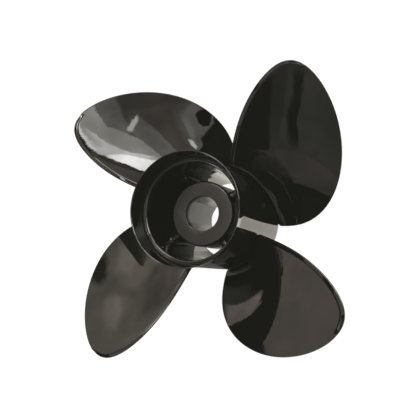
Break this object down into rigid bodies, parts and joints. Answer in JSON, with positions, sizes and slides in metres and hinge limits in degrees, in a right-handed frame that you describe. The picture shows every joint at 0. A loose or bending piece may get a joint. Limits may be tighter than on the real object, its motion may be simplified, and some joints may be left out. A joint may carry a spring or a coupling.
{
  "type": "outboard boat propeller",
  "caption": "Right-hand through-hub boat propeller with broad skewed blades on a hollow exhaust barrel with a flared aft rim and a hexagonal drive socket.",
  "frame": {"origin": "centre of the barrel's flat front rim, on the propeller's axis", "axes": "+Z along the axis from the front rim to the aft end; +X and +Y point between the ribs"},
  "size_m": [0.3222, 0.3222, 0.1389],
  "materials": {
    "gloss_black_paint": "gloss"
  },
  "bodies": {
    "root": {"barrel": "gloss_black_paint", "diffuser_ring": "gloss_black_paint", "inner_hub": "gloss_black_paint", "rib_1": "gloss_black_paint", "rib_2": "gloss_black_paint", "rib_3": "gloss_black_paint", "rib_4": "gloss_black_paint", "blade_1": "gloss_black_paint", "blade_2": "gloss_black_paint", "blade_3": "gloss_black_paint", "blade_4": "gloss_black_paint"}
  },
  "joints": []
}
